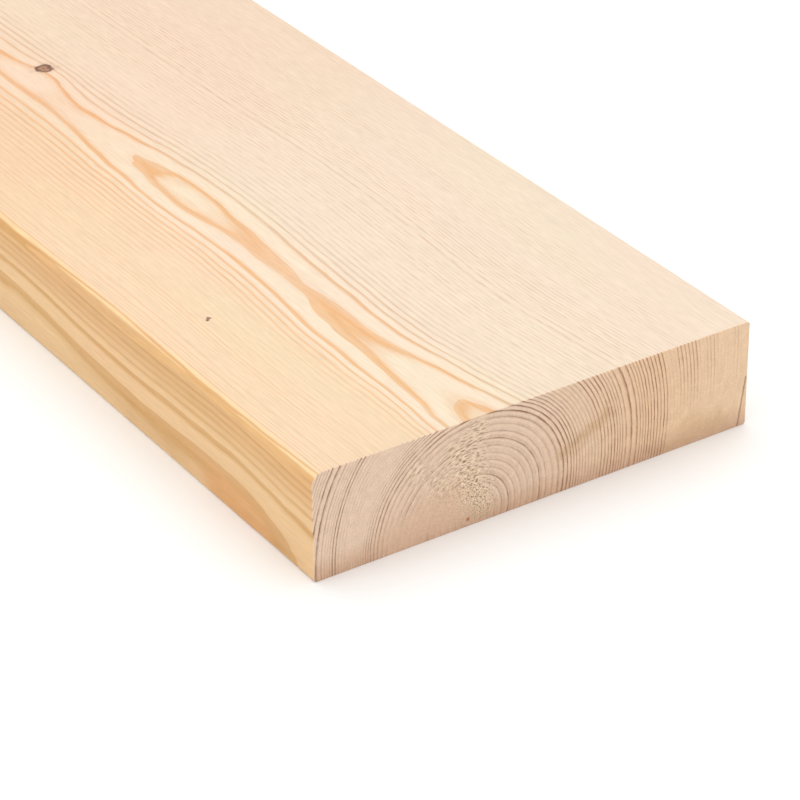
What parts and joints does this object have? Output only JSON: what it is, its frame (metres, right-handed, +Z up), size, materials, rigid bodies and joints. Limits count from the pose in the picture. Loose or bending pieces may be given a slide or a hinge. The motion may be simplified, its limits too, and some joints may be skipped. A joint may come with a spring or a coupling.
{
  "type": "timber plank",
  "caption": "Straight planed softwood plank with a rounded upper front arris and square crosscut ends, for framing, shelving, steps or decking.",
  "frame": {"origin": "middle of the board's underside", "axes": "+X along the grain towards the end the picture shows, +Y across the board from the front edge to the back edge, +Z up through the thickness"},
  "size_m": [2.4, 0.195, 0.045],
  "materials": {
    "planed_pine": "matte"
  },
  "bodies": {
    "root": {"plank": "planed_pine"}
  },
  "joints": []
}
